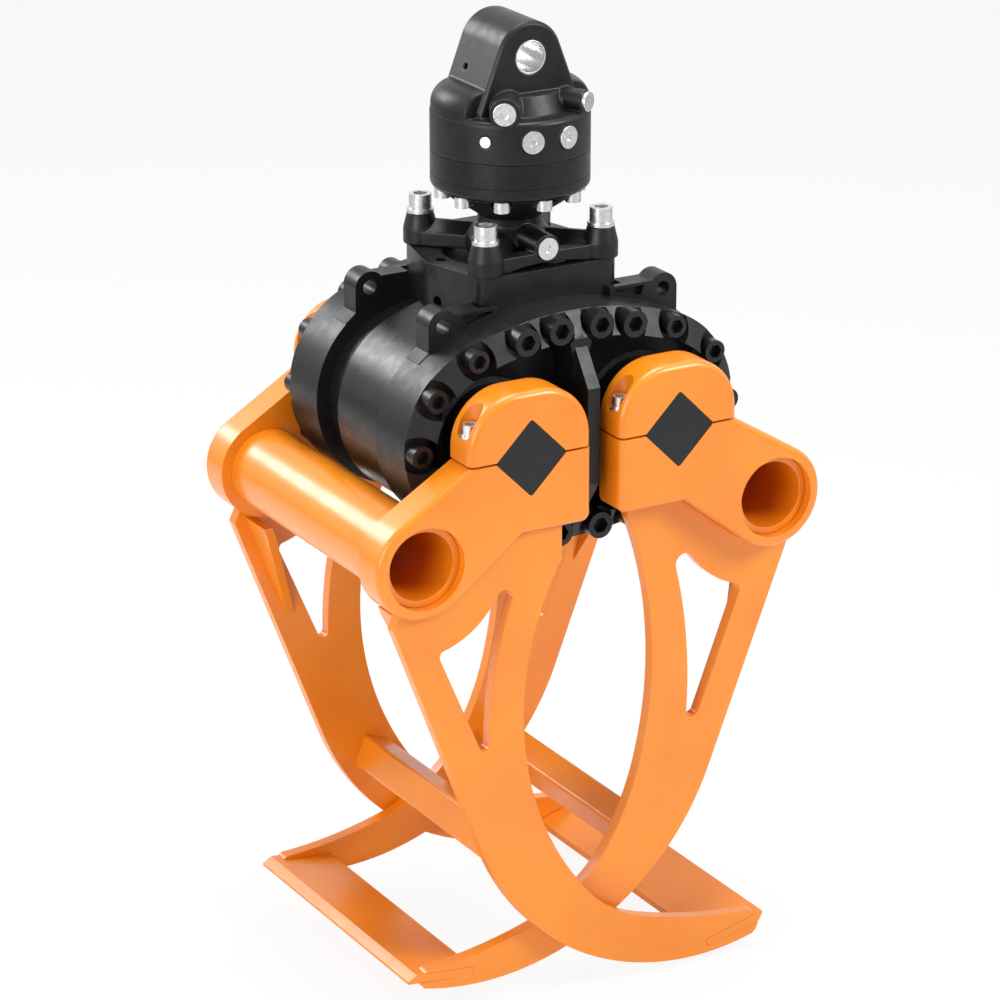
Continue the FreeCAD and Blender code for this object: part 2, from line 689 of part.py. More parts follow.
def cover_screw_places():
    places = []
    for hand in SIDES:
        for step in range(-2, 3):
            across, up = polar((d.shaft_spacing / 2, plain(0)), d.cover_screw_circle,
                               d.cover_screw_step * step)
            places.append((across * hand, up))
    return places


def crown_screw_places():
    inner = (d.crown_inner_out, d.crown_inner_height)
    outer = (d.crown_outer_out, d.crown_outer_height)
    return [(place[0] * hand, place[1] * level) for hand in SIDES for level in (1, -1)
            for place in (inner, outer)]


def make_cover(end):
    """Domed end cover with a rim of screws, two shaft recesses, a keel between them and lugs."""
    body = new_body(ENDS[end] + "_cover")
    half = d.shaft_spacing / 2
    seam, face = d.housing_half, d.cover_face
    slab(body, *capsule(d.cover_radius, d.cover_crown), *reach(end, seam, face))
    # the rim rises like a cone from the outline to the edge of the recess
    low, high = reach(end, face, face + d.rim_rise)
    start, steps = capsule(d.cover_radius, d.cover_crown)
    sketch = draw_path(new_sketch(body, "XZ", -(low if end == REAR else high)), start, steps)
    feature = extrude(body, sketch, d.rim_rise, taper=-angle_of(d.rim_rise, d.rim_width - 1))
    if end == REAR:
        feature.Reversed = True
        document.recompute()
    # recess about each shaft, leaving the keel in the middle
    recess_radius, recess_crown = d.cover_radius - d.rim_width, d.cover_crown - d.rim_width
    depth, big = crown_arc(recess_radius, recess_crown)
    span = root(half * half + depth * depth)
    tip = (half + half / span * recess_radius, depth / span * recess_radius)
    keel_top = root(big * big - d.keel_foot_half * d.keel_foot_half) - depth
    flare_run = keel_top - d.keel_bend
    flare_side = d.keel_foot_half - d.keel_half
    flare = (flare_run * flare_run + flare_side * flare_side) / (flare_side * 2)
    for hand in SIDES:
        slab(body, (d.keel_half, -d.keel_bend), [
            line(d.keel_half, d.keel_bend),
            arc(d.keel_foot_half, keel_top, flare, -1),
            arc(tip[0], tip[1], big, -1),
            arc(half + recess_radius, 0, recess_radius, -1),
            arc(tip[0], -tip[1], recess_radius, -1),
            arc(d.keel_foot_half, -keel_top, big, -1),
            arc(d.keel_half, -d.keel_bend, flare, -1)],
            *reach(end, d.recess_floor, face + d.rim_rise + 5), hand=hand, cut=True)
    # the keel stands out between the clamp heads, with a sloping end above and below
    for level in (1, -1):
        profile = [line((face + d.rim_rise) * end, d.keel_end * level),
                   line(d.keel_face * end, d.keel_bend * level),
                   line(d.keel_face * end, 0)]
        sketch = draw_path(new_sketch(body, "YZ"), (d.recess_floor * end, 0),
                           [line(d.recess_floor * end, d.keel_end * level)] + profile)
        extrude(body, sketch, d.keel_half * 2, symmetric=True)
    add_lugs(body, end)
    # bores for the shafts and seats for the screws
    discs(body, [(half * hand, 0) for hand in SIDES], d.shaft_hub_radius + d.bush_wall,
          *reach(end, seam - 1, d.recess_floor + 1), cut=True)
    discs(body, cover_screw_places(), d.cover_pocket, *reach(end, d.cover_seat, d.keel_face - 20),
          cut=True)
    discs(body, crown_screw_places(), d.crown_pocket, *reach(end, d.crown_seat, d.keel_face - 20),
          cut=True)
    discs(body, cover_screw_places(), d.cover_screw_radius + d.screw_play,
          *reach(end, d.cover_seat - d.screw_shank, d.cover_seat + 1), cut=True)
    discs(body, crown_screw_places(), d.crown_screw_radius + d.screw_play,
          *reach(end, d.crown_seat - d.screw_shank, d.crown_seat + 1), cut=True)


def add_lugs(body, end):
    """Lifting lugs with their webs, and the saddle that carries the block's overhang."""
    seam = d.housing_half
    block_edge = d.bolt_square / 2 + d.block_corner_radius
    under = d.block_top - d.overhang_drop
    side = block_side(seam)[0] + 1
    web_height = d.lug_height + d.web_over_lug
    drop = d.web_over_lug
    web_end = d.lug_out - root(d.lug_radius * d.lug_radius - drop * drop)
    outer = d.lug_out + d.lug_radius
    half = d.shaft_spacing / 2
    skin = d.cover_radius + 1.5
    foot = root(skin * skin - (outer - half) * (outer - half))
    for hand in SIDES:
        for inner, near, far in ((side, seam, block_edge),
                                 (d.web_inner, block_edge, seam + d.lug_depth)):
            slab(body, (inner, 100), [
                line(inner, web_height),
                line(web_end, web_height),
                arc(d.lug_out, d.lug_height + d.lug_radius, d.lug_radius, -1),
                arc(outer, d.lug_height, d.lug_radius, -1),
                line(outer, foot),
                line(outer + 15, foot - 12),
                line(outer + 8, foot - 22)],
                *reach(end, near, far), hand=hand)
        slab(body, (d.web_inner + 8, under - 3), [
            line(d.web_inner + 8, web_height - 4),
            line(web_end - 12, web_height - 4),
            line(web_end - 17, web_height - 18)],
            *reach(end, seam + d.lug_depth - d.web_pocket, seam + d.lug_depth + 1), hand=hand,
            cut=True)
    slab(body, (-side, 100), [line(side, 100), line(side, under), line(-side, under)],
         *reach(end, seam, block_edge))
    discs(body, [(d.lug_out * hand, d.lug_height) for hand in SIDES], d.lug_hole,
          *reach(end, seam - 1, seam + d.lug_depth + 1), cut=True)


def make_cover_screws(end):
    screws(new_body(ENDS[end] + "_cover_screws"), cover_screw_places(), d.cover_seat * end, end,
           d.cover_head_radius, d.cover_head_height, d.cover_screw_radius, d.screw_shank - 1, 9.8)
    screws(new_body(ENDS[end] + "_crown_screws"), crown_screw_places(), d.crown_seat * end, end,
           d.crown_head_radius, d.crown_head_height, d.crown_screw_radius, d.screw_shank - 1, 11)


def make_drive_internals(hand):
    """Fixed ring gear and sliding piston sleeve of one barrel, with the bushes and seals."""
    centre = (d.shaft_spacing / 2 * hand, 0)
    gap = d.running_gap
    ring(new_body(SIDES[hand] + "_ring_gear"), d.barrel_bore - gap, d.gear_inner, d.gear_start,
         d.gear_end, centre)
    piston = new_body(SIDES[hand] + "_piston")
    ring(piston, d.gear_inner - gap, d.shaft_core_radius + gap, d.piston_start, d.piston_end,
         centre)
    ring(piston, d.barrel_bore - gap, d.gear_inner - 5, d.piston_end - d.piston_flange,
         d.piston_end, centre)
    for end in ENDS:
        name = "%s_%s_" % (SIDES[hand], ENDS[end])
        start = d.recess_floor - 14 - d.bush_length
        outer, inner = d.shaft_hub_radius + d.bush_wall, d.shaft_hub_radius + gap
        ring(new_body(name + "bush"), outer, inner, *reach(end, start, start + d.bush_length),
             centre)
        ring(new_body(name + "seal"), outer - 0.5, inner,
             *reach(end, start + d.bush_length, d.recess_floor + d.seal_proud), centre)


# ---------------------------------------------------------------- jaws

def square_path():
    """Outline of the shaft's square end about the shaft axis, standing on a corner."""
    out = d.shaft_spacing / 2
    tip = d.shaft_square * math.sqrt(0.5)
    inset = d.shaft_corner * math.sqrt(0.5)
    start = (out + tip - inset, -inset)
    return start, [
        arc(out + tip - inset, inset, d.shaft_corner, 1),
        line(out + inset, tip - inset),
        arc(out - inset, tip - inset, d.shaft_corner, 1),
        line(out - tip + inset, inset),
        arc(out - tip + inset, -inset, d.shaft_corner, 1),
        line(out - inset, -tip + inset),
        arc(out + inset, -tip + inset, d.shaft_corner, 1)]


def make_shaft(hand):
    """Drive shaft: slim core in the barrel, thick journals and a square end front and rear."""
    body = new_body(SIDES[hand] + "_shaft")
    centre = [(d.shaft_spacing / 2 * hand, 0)]
    journal = d.recess_floor - 14 - d.bush_length
    discs(body, centre, d.shaft_core_radius, -journal, journal)
    for end in ENDS:
        discs(body, centre, d.shaft_hub_radius, *reach(end, journal, d.head_inner_face))
        slab(body, *square_path(), *reach(end, d.head_inner_face, d.head_outer_face), hand=hand)


def clamp_places(hand):
    """Clamp screw axes in (X, Y) on both heads of a jaw."""
    middle = (d.head_inner_face + d.head_outer_face) / 2
    out = d.shaft_spacing / 2
    return [((out + d.clamp_screw_offset * side) * hand, middle * end)
            for side in (-1, 1) for end in ENDS]


def end_places(places, end):
    return [place for place in places if float(place[1]) * end > 0]


def head_points():
    """Corner and tangent points of the clamp head in (out, Z)."""
    centre = (d.boss_out, -d.boss_drop)
    shoulder = (d.shaft_spacing / 2 + d.cap_half, -d.split_gap / 2)
    knee = (d.head_knee, -d.head_bottom)

    def touch(point, side):
        across, up = point[0] - centre[0], point[1] - centre[1]
        span = root(across * across + up * up)
        bearing = angle_of(across, up) + arc_cosine(d.tube_boss_radius / span) * side
        return polar(centre, d.tube_boss_radius, bearing)

    return centre, shoulder, knee, touch(shoulder, -1), touch(knee, 1)


def make_head(hand, end):
    """Lower half of the clamp, reaching out to the boss that the cross tube passes through."""
    body = new_body("%s_%s_head" % (SIDES[hand], ENDS[end]))
    low, high = reach(end, d.head_inner_face, d.head_outer_face)
    centre, shoulder, knee, upper, lower = head_points()
    inner, corner = d.head_inner_edge, d.head_corner
    slab(body, (inner, shoulder[1]), [
        line(inner, -d.head_bottom + corner),
        arc(inner + corner, -d.head_bottom, corner, 1),
        line(*knee),
        line(*lower),
        arc(centre[0], centre[1] - d.tube_boss_radius, d.tube_boss_radius, 1),
        arc(centre[0] + d.tube_boss_radius, centre[1], d.tube_boss_radius, 1),
        arc(upper[0], upper[1], d.tube_boss_radius, 1),
        line(*shoulder)], low, high, hand=hand)
    outer = d.head_outer_face * end
    bevel(body, d.head_round, lambda edge: lies_at(edge, "Y", outer)
          and not lies_at(edge, "Z", shoulder[1] - float(d.pin_height)))
    slab(body, *square_path(), low - 1, high + 1, hand=hand, cut=True)
    discs(body, [(centre[0] * hand, centre[1])], d.tube_radius + d.screw_play / 2, low - 1,
          high + 1, cut=True)
    columns(body, end_places(clamp_places(hand), end), d.clamp_screw_radius + d.screw_play,
            -d.clamp_screw_length - 1, 0, cut=True)


def make_cap(hand, end):
    """Upper half of the clamp with the pockets of its two screws."""
    body = new_body("%s_%s_cap" % (SIDES[hand], ENDS[end]))
    low, high = reach(end, d.head_inner_face, d.head_outer_face)
    out, half, corner = d.shaft_spacing / 2, d.cap_half, d.cap_corner
    foot = d.split_gap / 2
    slab(body, (out - half, foot), [
        line(out - half, d.cap_top - corner),
        arc(out - half + corner, d.cap_top, corner, -1),
        line(out + half - corner, d.cap_top),
        arc(out + half, d.cap_top - corner, corner, -1),
        line(out + half, foot)], low, high, hand=hand)
    outer = d.head_outer_face * end
    bevel(body, d.cap_round, lambda edge: lies_at(edge, "Y", outer)
          and not lies_at(edge, "Z", foot - float(d.pin_height)))
    slab(body, *square_path(), low - 1, high + 1, hand=hand, cut=True)
    places = end_places(clamp_places(hand), end)
    columns(body, places, d.clamp_pocket, d.clamp_seat, d.cap_top + 1, cut=True)
    columns(body, places, d.clamp_screw_radius + d.screw_play, 0, d.clamp_seat + 1, cut=True)


def make_clamp_fasteners(hand):
    places = clamp_places(hand)
    washers = new_body(SIDES[hand] + "_clamp_washers")
    sketch = new_sketch(washers, "XY", d.clamp_seat)
    draw_circles(sketch, places, d.clamp_washer_radius)
    draw_circles(sketch, places, d.clamp_screw_radius + d.screw_play)
    extrude(washers, sketch, d.clamp_washer_thickness)
    seat = d.clamp_seat + d.clamp_washer_thickness
    screws(new_body(SIDES[hand] + "_clamp_screws"), places, seat, 1, d.clamp_head_radius,
           d.clamp_head_height, d.clamp_screw_radius, seat + d.clamp_screw_length, d.clamp_socket,
           upright=True)


def make_tube(hand):
    """Cross tube that ties the front and rear heads, its ends set back in the bosses."""
    tip = d.head_outer_face - d.tube_recess
    ring(new_body(SIDES[hand] + "_cross_tube"), d.tube_radius, d.tube_radius - d.tube_wall, -tip,
         tip, (d.boss_out * hand, -d.boss_drop))


def plate_path(hand):
    """Outline of a jaw plate from the head down to its nose, in (out, Z)."""
    centre, shoulder, knee, upper, lower = head_points()
    ledge = polar(centre, d.tube_boss_radius, d.ledge_angle)
    outer = (d.outer_corner_out, -d.outer_corner_drop)
    top = [line(*knee), line(*lower), arc(ledge[0], ledge[1], d.tube_boss_radius, 1),
           line(*outer)]
    if hand == LEFT:
        return (58, knee[1]), top + [
            line(173.4, -548.7), arc(-250, -764, 360.3, -1), arc(-246, -727, 20, -1),
            arc(-70, -692.5, 696, 1), arc(5, -645, 178, 1), arc(58, -150, 423, 1)]
    return (54, knee[1]), top + [
        line(186.4, -510.3), arc(-252, -730, 370, -1), arc(-246, -704, 15, -1),
        arc(-83, -677, 605, 1), arc(20, -602, 260, 1), arc(81, -461, 390, 1),
        arc(54, -119, 568, 1)]


def window_path(hand):
    """Opening of a jaw plate below the boss, in (out, Z)."""
    if hand == LEFT:
        return (155, -186), [arc(235, -245, 126, 1), arc(238, -256, 9, -1), line(180.5, -391),
                             arc(166, -391, 7.6, -1), arc(131, -190, 560, 1),
                             arc(155, -186, 12.5, -1)]
    return (157, -197), [arc(228, -249, 129, 1), arc(232, -260, 9, -1), line(170.5, -420),
                         arc(151, -418, 10, -1), arc(131, -206, 690, 1),
                         arc(157, -197, 14, -1)]


def plate_faces(hand):
    """Inner and outer depth of a jaw's plates."""
    outer = d.left_plate_face if hand == LEFT else d.right_plate_face
    return outer - d.plate_thickness, outer


def blade_path(hand):
    """Section of the tip blade; the bevel is below on the left jaw and above on the right."""
    thick, edge = d.blade_thickness, d.blade_edge
    if hand == LEFT:
        inner, outer, bevel_run, below = (-176, -754.5), (-266.6, -732.5), 8, True
    else:
        inner, outer, bevel_run, below = (-178.2, -716), (-276, -705.7), 12.5, False
    across, up = outer[0] - inner[0], outer[1] - inner[1]
    span = math.hypot(across, up)
    along, normal = (across / span, up / span), (up / span, -across / span)
    normal = normal if normal[1] < 0 else (-normal[0], -normal[1])
    top_in = (plain(inner[0]), plain(inner[1]))
    low_in = (top_in[0] + thick * normal[0], top_in[1] + thick * normal[1])
    tip = (plain(outer[0]), plain(outer[1]))
    far = (tip[0] + thick * normal[0], tip[1] + thick * normal[1])
    if below:
        lip = (tip[0] + edge * normal[0], tip[1] + edge * normal[1])
        back = (far[0] - bevel_run * along[0], far[1] - bevel_run * along[1])
        return top_in, [line(*tip), line(*lip), line(*back), line(*low_in)]
    lip = (far[0] - edge * normal[0], far[1] - edge * normal[1])
    back = (tip[0] - bevel_run * along[0], tip[1] - bevel_run * along[1])
    return top_in, [line(*back), line(*lip), line(*far), line(*low_in)]


def beam_centre(hand):
    return (plain(98.6), plain(-585.6)) if hand == LEFT else (plain(86.5), plain(-590))


def beam_path(hand, width, height):
    """Box section turned by the tilt of the beam."""
    centre = beam_centre(hand)
    corners_out = []
    for side, level in ((-1, -1), (1, -1), (1, 1), (-1, 1)):
        across, up = width / 2 * side, height / 2 * level
        corners_out.append((centre[0] + across * cosine(d.beam_tilt) - up * sine(d.beam_tilt),
                            centre[1] + across * sine(d.beam_tilt) + up * cosine(d.beam_tilt)))
    return corners_out[0], [line(*corner) for corner in corners_out[1:]]


def make_plate(hand, end):
    """Jaw plate, slotted at the nose for the blade."""
    body = new_body("%s_%s_plate" % (SIDES[hand], ENDS[end]))
    inner, outer = plate_faces(hand)
    low, high = reach(end, inner, outer)
    slab(body, *plate_path(hand), low, high, hand=hand)
    slab(body, *window_path(hand), low - 1, high + 1, hand=hand, cut=True)
    slab(body, *blade_path(hand), low - 1, high + 1, hand=hand, cut=True)


def make_cross_pieces(hand):
    """Crossbeam between the plates and the blade across the jaw tips."""
    inner, outer = plate_faces(hand)
    beam = new_body(SIDES[hand] + "_crossbeam")
    slab(beam, *beam_path(hand, d.beam_width, d.beam_height), -inner, inner, hand=hand)
    bevel(beam, d.beam_round, lambda edge: abs(edge.BoundBox.YLength - 2 * float(inner)) < 0.1)
    slab(beam, *beam_path(hand, d.beam_width - d.beam_wall * 2, d.beam_height - d.beam_wall * 2),
         -inner - 1, inner + 1, hand=hand, cut=True)
    slab(new_body(SIDES[hand] + "_tip_blade"), *blade_path(hand), -outer, outer, hand=hand)


def make_gussets(hand):
    """Triangular stiffeners inside each plate, below the cross tube."""
    body = new_body(SIDES[hand] + "_gussets")
    inner = plate_faces(hand)[0]
    path = plate_path(hand)[1]
    top, foot = path[3][0], path[4][0]
    slope = (plain(top[0]) - foot[0]) / (plain(top[1]) - foot[1])
    lean = root(slope * slope + 1)

    def at(drop, inset):
        return top[0] + slope * (-drop - top[1]) - inset * lean, -drop

    near, far = d.gusset_inset, d.gusset_inset + d.gusset_thickness
    head, tail = d.gusset_top_drop, d.gusset_foot_drop
    for end in ENDS:
        low, high = reach(end, inner - d.gusset_width, inner)
        slab(body, at(head, near), [line(*at(tail, near)), line(*at(tail, far)),
                                    line(*at(head, far))], low, high, hand=hand)
    for end in ENDS:
        sketch = draw_path(new_sketch(body, "YZ", d.boss_out * hand), (
            (inner - d.gusset_width - 1) * end, -head - 14), [
            line((inner - d.gusset_width) * end, -head - 14),
            line((inner - 1) * end, -tail),
            line((inner - 1) * end, -tail - 1),
            line((inner - d.gusset_width - 1) * end, -tail - 1)])
        extrude(body, sketch, 300, cut=True, symmetric=True)


def build():
    """Make every sub-part."""
    make_rotator_head()
    make_rotator_pieces()
    make_flange_adapter()
    make_flange_fasteners()
    make_housing()
    for end in ENDS:
        make_cover(end)
        make_cover_screws(end)
    for hand in SIDES:
        make_drive_internals(hand)
        make_shaft(hand)
        for end in ENDS:
            make_head(hand, end)
            make_cap(hand, end)
            make_plate(hand, end)
        make_clamp_fasteners(hand)
        make_tube(hand)
        make_gussets(hand)
        make_cross_pieces(hand)


def export():
    """Check every object and write one file for each sub-part."""
    document.recompute()
    for item in document.Objects:
        if "Invalid" in item.State or "Error" in item.State:
            raise RuntimeError("%s is %s" % (item.Name, item.State))
    for part in PARTS:
        if part.Shape.isNull() or not part.Shape.isValid():
            raise RuntimeError("%s has no valid shape" % part.Label)
    os.makedirs("parts", exist_ok=True)
    for part in PARTS:
        part.Shape.exportStep("parts/%s.step" % part.Label)


build()
export()
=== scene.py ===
"""Looks of a log grapple: two powder-coated jaws on a black twin-shaft drive under a rotator.

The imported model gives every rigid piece.  This script gives each of them its edge rounding,
shading, finish and surface texture, and sets up floor, lamps and camera.
"""
from __future__ import annotations

import bpy
import json
import logging
import math
from dataclasses import dataclass, field
from enum import Enum
from mathutils import Matrix, Vector

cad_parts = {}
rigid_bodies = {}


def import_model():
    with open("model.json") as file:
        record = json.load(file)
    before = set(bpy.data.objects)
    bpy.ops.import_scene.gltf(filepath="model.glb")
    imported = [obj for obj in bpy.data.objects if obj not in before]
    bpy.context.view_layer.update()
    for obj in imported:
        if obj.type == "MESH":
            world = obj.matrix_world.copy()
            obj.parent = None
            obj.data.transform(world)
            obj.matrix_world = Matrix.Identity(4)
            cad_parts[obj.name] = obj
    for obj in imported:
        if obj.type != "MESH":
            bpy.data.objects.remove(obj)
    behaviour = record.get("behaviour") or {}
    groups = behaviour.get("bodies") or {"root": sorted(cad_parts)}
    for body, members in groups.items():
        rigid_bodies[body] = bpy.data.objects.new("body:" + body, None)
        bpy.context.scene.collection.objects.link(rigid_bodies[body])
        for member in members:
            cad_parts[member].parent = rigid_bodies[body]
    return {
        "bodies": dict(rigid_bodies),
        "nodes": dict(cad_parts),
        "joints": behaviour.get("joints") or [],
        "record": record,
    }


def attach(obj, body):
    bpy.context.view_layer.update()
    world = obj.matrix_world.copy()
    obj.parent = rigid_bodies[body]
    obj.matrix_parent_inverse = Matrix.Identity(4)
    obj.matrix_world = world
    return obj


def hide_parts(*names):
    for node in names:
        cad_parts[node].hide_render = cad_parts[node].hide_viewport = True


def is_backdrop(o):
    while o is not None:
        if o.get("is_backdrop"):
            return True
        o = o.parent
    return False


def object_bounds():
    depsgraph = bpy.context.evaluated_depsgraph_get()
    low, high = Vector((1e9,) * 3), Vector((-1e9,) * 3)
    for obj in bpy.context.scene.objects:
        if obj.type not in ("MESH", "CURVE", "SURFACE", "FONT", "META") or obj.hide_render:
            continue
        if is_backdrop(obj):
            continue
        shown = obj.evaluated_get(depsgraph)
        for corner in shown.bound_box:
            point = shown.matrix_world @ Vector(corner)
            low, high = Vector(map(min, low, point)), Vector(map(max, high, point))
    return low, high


log = logging.getLogger("log_grapple")

Colour = tuple[float, float, float]

MM = 0.001
MERGE_GAP = 0.002 * MM      # loose corners closer than this become one
FLAT_ANGLE = 0.4            # degrees below which neighbouring faces are merged
BEVEL_ANGLE = 34.0          # degrees above which an edge is rounded and stays sharp
CAST_ANGLE = 60.0           # the same for the sharp edges of a casting
NORMAL_WEIGHT = 60
CAST_SHARE = 0.35           # share of a casting's faces that is kept
WORLD_LEVEL = 0.24          # strength of the surroundings as plain light
PAPER_WHITE = 0.86
PAPER_GLOW = 0.9            # share of the floor that is plain white to the camera
FLOOR_SIZE = 30.0           # metres
CAMERA_REACH = 60.0         # metres


# ---------------------------------------------------------------- node trees

class Tree:
    """Short calls for building one material's node tree."""

    noise_low: float = 0.3
    noise_high: float = 0.7

    def __init__(self, name: str) -> None:
        """Start an empty material with a surface shader.

        Args:
            name: Name of the material.
        """
        self.material = bpy.data.materials.new(name)
        self.material.use_nodes = True
        self.tree = self.material.node_tree
        self.tree.nodes.clear()
        self.output = self.tree.nodes.new("ShaderNodeOutputMaterial")
        self.shader = self.tree.nodes.new("ShaderNodeBsdfPrincipled")
        self.join(self.shader, "BSDF", self.output, "Surface")
        self.place = self.tree.nodes.new("ShaderNodeTexCoord")

    def join(self, source: bpy.types.Node, output: str | int, target: bpy.types.Node,
             socket: str | int) -> None:
        """Link an output of one node to an input of another.

        Args:
            source: Node that the link leaves.
            output: Name or number of its output.
            target: Node that the link enters.
            socket: Name or number of its input.
        """
        self.tree.links.new(source.outputs[output], target.inputs[socket])

    def noise(self, scale: float, detail: float = 2.0) -> bpy.types.Node:
        """Add a noise texture in object space.

        Args:
            scale: Cells per metre.
            detail: Octaves of finer noise.

        Returns:
            The texture node.
        """
        node = self.tree.nodes.new("ShaderNodeTexNoise")
        node.inputs["Scale"].default_value = scale
        node.inputs["Detail"].default_value = detail
        self.join(self.place, "Object", node, "Vector")
        return node

    def spread(self, source: bpy.types.Node, low: float, high: float) -> bpy.types.Node:
        """Map a texture's value to a range.

        Args:
            source: Node whose factor is read.
            low: Result at the start of the texture's useful range.
            high: Result at its end.

        Returns:
            The mapping node.
        """
        node = self.tree.nodes.new("ShaderNodeMapRange")
        node.inputs["From Min"].default_value = self.noise_low
        node.inputs["From Max"].default_value = self.noise_high
        node.inputs["To Min"].default_value = low
        node.inputs["To Max"].default_value = high
        self.join(source, "Fac" if "Fac" in source.outputs else 0, node, "Value")
        return node

    def blend(self, factor: bpy.types.Node, first: Colour, second: Colour) -> bpy.types.Node:
        """Mix two colours by a factor node.

        Args:
            factor: Node with the factor as its first output.
            first: Colour at factor 0.
            second: Colour at factor 1.

        Returns:
            The mixing node.
        """
        node = self.tree.nodes.new("ShaderNodeMix")
        node.data_type = "RGBA"
        node.inputs[6].default_value = (*first, 1.0)
        node.inputs[7].default_value = (*second, 1.0)
        self.join(factor, 0, node, 0)
        return node

    def bump(self, height: bpy.types.Node, depth: float, strength: float,
             below: bpy.types.Node | None = None) -> bpy.types.Node:
        """Turn a height texture into a bump on the shader.

        Args:
            height: Texture whose first output is the height.
            depth: Height of the relief in metres.
            strength: Strength of the effect, 0 to 1.
            below: Bump node that this one is added to.

        Returns:
            The bump node.
        """
        node = self.tree.nodes.new("ShaderNodeBump")
        node.inputs["Distance"].default_value = depth
        node.inputs["Strength"].default_value = strength
        self.join(height, 0, node, "Height")
        if below is not None:
            self.join(below, "Normal", node, "Normal")
        self.join(node, "Normal", self.shader, "Normal")
        return node


# ---------------------------------------------------------------- finishes

@dataclass(frozen=True)
class PowderCoat:
    """Glossy powder coat with a faint orange-peel skin."""

    slot: str = "orange_coat"
    colour: Colour = (0.82, 0.245, 0.007)
    deep_colour: Colour = (0.75, 0.205, 0.005)
    roughness: float = 0.33
    peel_scale: float = 420.0
    peel_depth: float = 0.00012

    def material(self) -> bpy.types.Material:
        """Build the material."""
        tree = Tree("powder_coat_orange")
        shade = tree.blend(tree.spread(tree.noise(9.0, 3.0), 0.0, 1.0), self.colour,
                           self.deep_colour)
        tree.join(shade, 2, tree.shader, "Base Color")
        gloss = tree.spread(tree.noise(35.0, 4.0), self.roughness - 0.05, self.roughness + 0.06)
        tree.join(gloss, 0, tree.shader, "Roughness")
        tree.shader.inputs["Coat Weight"].default_value = 0.25
        tree.shader.inputs["Coat Roughness"].default_value = 0.18
        tree.bump(tree.noise(self.peel_scale, 1.0), self.peel_depth, 0.35)
        return tree.material


@dataclass(frozen=True)
class SatinPaint:
    """Black paint over machined or cast steel; `grain` is the relief of the casting."""

    slot: str = "black_coat"
    name: str = "satin_black_machined"
    colour: Colour = (0.005, 0.0053, 0.006)
    light_colour: Colour = (0.008, 0.0084, 0.0092)
    roughness: float = 0.28
    sheen: float = 0.3
    grain_scale: float = 900.0
    grain_depth: float = 0.00005

    def material(self) -> bpy.types.Material:
        """Build the material."""
        tree = Tree(self.name)
        shade = tree.blend(tree.spread(tree.noise(28.0, 4.0), 0.0, 1.0), self.colour,
                           self.light_colour)
        tree.join(shade, 2, tree.shader, "Base Color")
        gloss = tree.spread(tree.noise(60.0, 5.0), self.roughness - 0.05, self.roughness + 0.08)
        tree.join(gloss, 0, tree.shader, "Roughness")
        tree.shader.inputs["Specular IOR Level"].default_value = self.sheen
        fine = tree.bump(tree.noise(self.grain_scale, 2.0), self.grain_depth, 0.5)
        tree.bump(tree.noise(self.grain_scale / 6.0, 3.0), self.grain_depth * 2.0, 0.3, fine)
        return tree.material


@dataclass(frozen=True)
class BareMetal:
    """Plated, oxidised or turned metal."""

    slot: str
    name: str
    colour: Colour
    roughness: float
    metallic: float = 1.0
    grain_scale: float = 700.0

    def material(self) -> bpy.types.Material:
        """Build the material."""
        tree = Tree(self.name)
        dark = tuple(channel * 0.93 for channel in self.colour)
        shade = tree.blend(tree.spread(tree.noise(110.0, 4.0), 0.0, 1.0), self.colour, dark)
        tree.join(shade, 2, tree.shader, "Base Color")
        gloss = tree.spread(tree.noise(260.0, 3.0), self.roughness - 0.06, self.roughness + 0.08)
        tree.join(gloss, 0, tree.shader, "Roughness")
        tree.shader.inputs["Metallic"].default_value = self.metallic
        tree.bump(tree.noise(self.grain_scale, 2.0), 0.00001, 0.2)
        return tree.material


@dataclass(frozen=True)
class SealRubber:
    """Matt nitrile rubber."""

    slot: str = "seal_rubber"
    colour: Colour = (0.012, 0.012, 0.013)
    dust_colour: Colour = (0.03, 0.03, 0.031)

    def material(self) -> bpy.types.Material:
        """Build the material."""
        tree = Tree("nitrile_rubber")
        shade = tree.blend(tree.spread(tree.noise(90.0, 4.0), 0.0, 1.0), self.colour,
                           self.dust_colour)
        tree.join(shade, 2, tree.shader, "Base Color")
        tree.join(tree.spread(tree.noise(200.0), 0.55, 0.75), 0, tree.shader, "Roughness")
        tree.bump(tree.noise(1500.0), 0.00004, 0.4)
        return tree.material


class Finish(Enum):
    """The finishes of the grapple."""

    ORANGE = PowderCoat()
    MACHINED_BLACK = SatinPaint()
    CAST_BLACK = SatinPaint(name="satin_black_cast", roughness=0.36, grain_scale=420.0,
                            grain_depth=0.0002)
    BLACK_OXIDE = BareMetal("black_steel", "black_oxide_steel", (0.028, 0.028, 0.030), 0.34, 0.75)
    ZINC = BareMetal("zinc_steel", "zinc_plated_steel", (0.70, 0.70, 0.69), 0.30)
    GEAR_STEEL = BareMetal("gear_steel", "turned_gear_steel", (0.42, 0.42, 0.43), 0.28)
    BRONZE = BareMetal("bronze", "bearing_bronze", (0.52, 0.33, 0.13), 0.32)
    RUBBER = SealRubber()


class Paints:
    """Makes each finish's material once and hands it out."""

    def __init__(self) -> None:
        """Start with no material made."""
        self.made: dict[Finish, bpy.types.Material] = {}

    def material(self, finish: Finish) -> bpy.types.Material:
        """The material of a finish, built on its first use."""
        if finish not in self.made:
            self.made[finish] = finish.value.material()
        return self.made[finish]

    def coat(self, piece: bpy.types.Object, finish: Finish) -> None:
        """Give a whole piece one finish.

        Args:
            piece: Mesh object.
            finish: Finish for all of it.
        """
        piece.data.materials.clear()
        piece.data.materials.append(self.material(finish))


# ---------------------------------------------------------------- shared shaping

